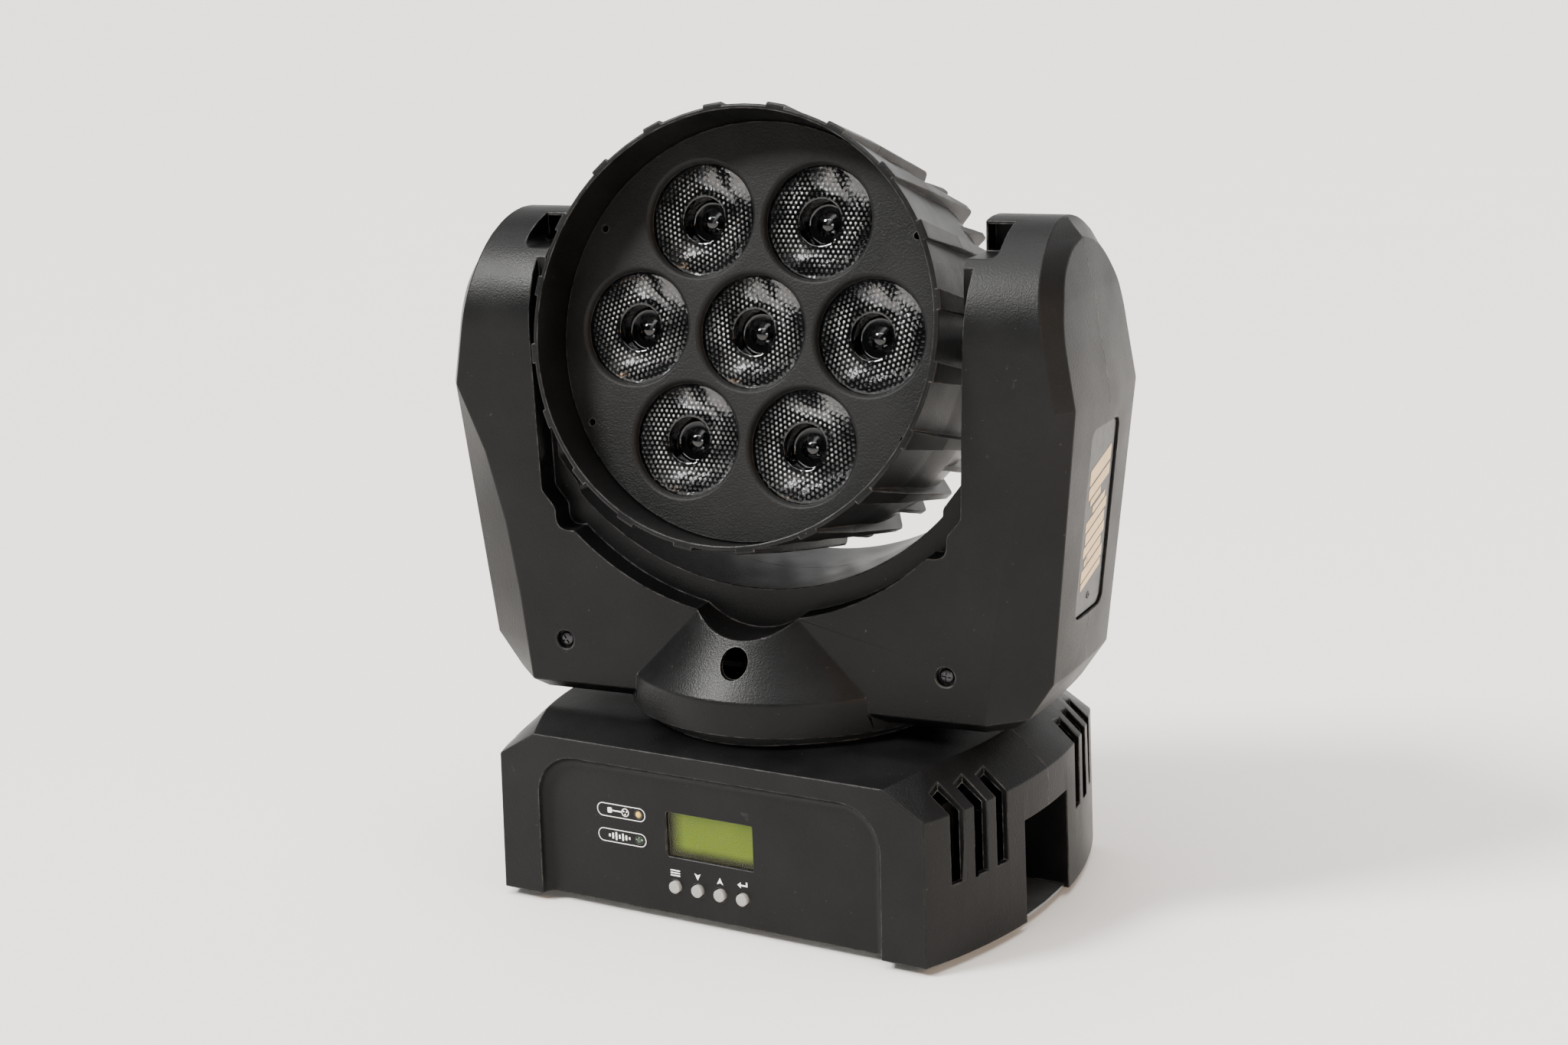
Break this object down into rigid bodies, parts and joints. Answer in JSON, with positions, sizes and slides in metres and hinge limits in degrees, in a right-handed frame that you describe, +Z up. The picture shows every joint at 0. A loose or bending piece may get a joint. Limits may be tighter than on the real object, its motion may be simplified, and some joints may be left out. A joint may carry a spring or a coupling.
{
  "type": "moving head light",
  "caption": "Stage wash light: a head with a lens cluster tilts in a U yoke that pans on a base with display, keys, side vents and hand holds.",
  "frame": {"origin": "centre of the flat underside of the base, 4 mm above the feet's contact plane", "axes": "+Z up through the pan axis, -Y out of the front of the base where the display is, +X to the right seen from the front. The rest pose has the yoke turned 5.6 degrees and the beam raised 13.8 degrees"},
  "size_m": [0.3068, 0.1762, 0.3632],
  "materials": {
    "textured_black": "fine moulded grain, slightly worn on the edges",
    "smooth_black": "smooth moulded black",
    "button_grey": "smooth light grey",
    "display_green": "unlit yellow-green liquid crystal display",
    "clear_window": "clear display window",
    "clear_lens": "clear moulded optic with a pebbled face",
    "amber_lamp": "clear amber lamp",
    "circuit_board": "green coated circuit board",
    "sheet_steel": "zinc plated sheet steel",
    "black_sheet": "black powder-coated sheet steel",
    "bright_steel": "turned steel",
    "black_screw": "black oxide screw",
    "sheet_aluminium": "plain aluminium",
    "motor_black": "black stepping motor",
    "badge_metal": "black plate with pale metallic blocks",
    "foot_rubber": "soft black rubber",
    "belt_rubber": "black toothed belt"
  },
  "bodies": {
    "base": {"base_front_shell": "textured_black", "base_rear_shell": "textured_black", "base_bottom_plate": "sheet_steel", "foot_1": "foot_rubber", "foot_2": "foot_rubber", "foot_3": "foot_rubber", "foot_4": "foot_rubber", "pan_bridge": "sheet_steel", "pan_bearing": "bright_steel", "pan_motor": "motor_black", "power_supply": "sheet_aluminium", "control_board": "circuit_board", "lcd_module": "display_green", "lcd_window": "clear_window", "dmx_indicator": "amber_lamp", "sound_indicator": "smooth_black", "connector_plate": "black_sheet", "power_inlet": "smooth_black", "dmx_in_socket": "smooth_black", "dmx_out_socket": "smooth_black", "fuse_holder": "smooth_black", "pan_belt": "belt_rubber"},
    "menu_key": {"menu_button": "button_grey"},
    "down_key": {"down_button": "button_grey"},
    "up_key": {"up_button": "button_grey"},
    "enter_key": {"enter_button": "button_grey"},
    "pan_drive": {"pan_pinion": "sheet_aluminium"},
    "yoke": {"yoke_front_shell": "textured_black", "yoke_rear_shell": "textured_black", "yoke_frame": "sheet_steel", "pan_pulley": "sheet_aluminium", "yoke_screw_front_left": "black_screw", "yoke_screw_front_right": "black_screw", "yoke_screw_rear_left": "black_screw", "yoke_screw_rear_right": "black_screw", "arm_badge_left": "badge_metal", "arm_badge_right": "badge_metal", "tilt_motor": "motor_black", "tilt_belt": "belt_rubber", "tilt_bearing_left": "bright_steel", "tilt_bearing_right": "bright_steel"},
    "tilt_drive": {"tilt_pinion": "sheet_aluminium"},
    "head": {"head_bezel": "textured_black", "face_plate": "textured_black", "lens_1": "clear_lens", "lens_2": "clear_lens", "lens_3": "clear_lens", "lens_4": "clear_lens", "lens_5": "clear_lens", "lens_6": "clear_lens", "lens_7": "clear_lens", "led_board": "circuit_board", "heat_sink": "sheet_aluminium", "rear_housing": "textured_black", "rear_grille": "black_sheet", "fan_frame": "smooth_black", "tilt_shaft_left": "bright_steel", "tilt_shaft_right": "bright_steel", "tilt_pulley": "sheet_aluminium"},
    "fan": {"fan_rotor": "smooth_black"}
  },
  "joints": [
    {"name": "menu_press", "type": "slide", "parent": "base", "child": "menu_key", "axis": [0, 1, 0], "range_m": [0, 0.0008], "stiffness_N_per_m": 400},
    {"name": "down_press", "type": "slide", "parent": "base", "child": "down_key", "axis": [0, 1, 0], "range_m": [0, 0.0008], "stiffness_N_per_m": 400},
    {"name": "up_press", "type": "slide", "parent": "base", "child": "up_key", "axis": [0, 1, 0], "range_m": [0, 0.0008], "stiffness_N_per_m": 400},
    {"name": "enter_press", "type": "slide", "parent": "base", "child": "enter_key", "axis": [0, 1, 0], "range_m": [0, 0.0008], "stiffness_N_per_m": 400},
    {"name": "pan", "type": "hinge", "parent": "base", "child": "yoke", "pos_m": [0, 0, 0.09], "axis": [0, 0, 1], "range_deg": [-275.6, 264.4]},
    {"name": "pan_pinion_spin", "type": "hinge", "parent": "base", "child": "pan_drive", "pos_m": [-0.06, 0.038, 0.065], "axis": [0, 0, 1], "range_deg": [-1590, 1525]},
    {"name": "tilt", "type": "hinge", "parent": "yoke", "child": "head", "pos_m": [0, 0, 0.2501], "axis": [-0.9952, -0.0976, 0], "range_deg": [-21.8, 174.2]},
    {"name": "tilt_pinion_spin", "type": "hinge", "parent": "yoke", "child": "tilt_drive", "pos_m": [0.11744, 0.01151, 0.141], "axis": [-0.9952, -0.0976, 0], "range_deg": [-85, 660]},
    {"name": "fan_spin", "type": "hinge", "parent": "head", "child": "fan", "pos_m": [-0.00365, 0.03721, 0.24092], "axis": [0.0948, -0.9665, 0.2385], "continuous": true}
  ],
  "couplings": [
    {"joint": "pan_pinion_spin", "follows": "pan", "ratio": 5.75},
    {"joint": "tilt_pinion_spin", "follows": "tilt", "ratio": 3.75}
  ]
}
